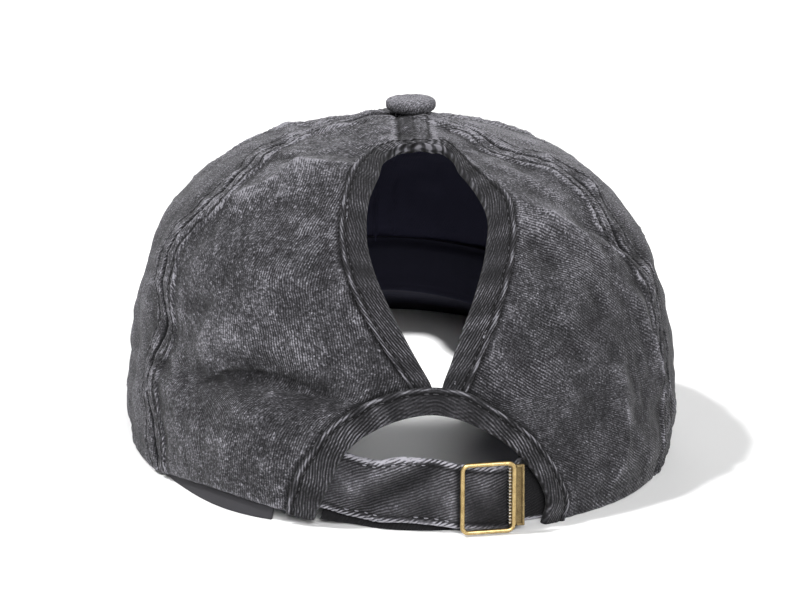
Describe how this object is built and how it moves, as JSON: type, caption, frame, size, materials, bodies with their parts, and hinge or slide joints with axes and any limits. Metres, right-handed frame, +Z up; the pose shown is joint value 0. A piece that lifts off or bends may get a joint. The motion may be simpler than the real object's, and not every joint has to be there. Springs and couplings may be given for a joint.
{
  "type": "ponytail baseball cap",
  "caption": "Soft washed-twill baseball cap with a teardrop ponytail opening at the back, an arched opening over a cloth strap, and a brass clamp buckle.",
  "frame": {"origin": "middle of the underside of the cap's bounding box, on the surface that it stands on", "axes": "+Y from the back towards the tip of the brim, +X to the wearer's right, +Z up"},
  "size_m": [0.1804, 0.2664, 0.1133],
  "materials": {
    "washed_twill": "pigment-dyed charcoal cotton twill, washed and abraded along seams and edges",
    "bias_twill": "darker charcoal cotton twill cut on the bias, folded into a ridged binding",
    "inner_cotton": "plain dark navy cotton, matt",
    "antique_brass": "satin antique brass with darker recesses"
  },
  "bodies": {
    "root": {"panel_back_left": "washed_twill", "panel_back_right": "washed_twill", "panel_side_left": "washed_twill", "panel_side_right": "washed_twill", "panel_front_left": "washed_twill", "panel_front_right": "washed_twill", "top_button": "washed_twill", "brim": "washed_twill", "adjuster_strap": "washed_twill", "strap_tail": "inner_cotton", "buckle_tab": "washed_twill", "ponytail_binding": "bias_twill", "arch_binding": "bias_twill", "sweatband": "inner_cotton", "buckle_frame": "antique_brass", "buckle_clamp": "antique_brass"}
  },
  "joints": []
}
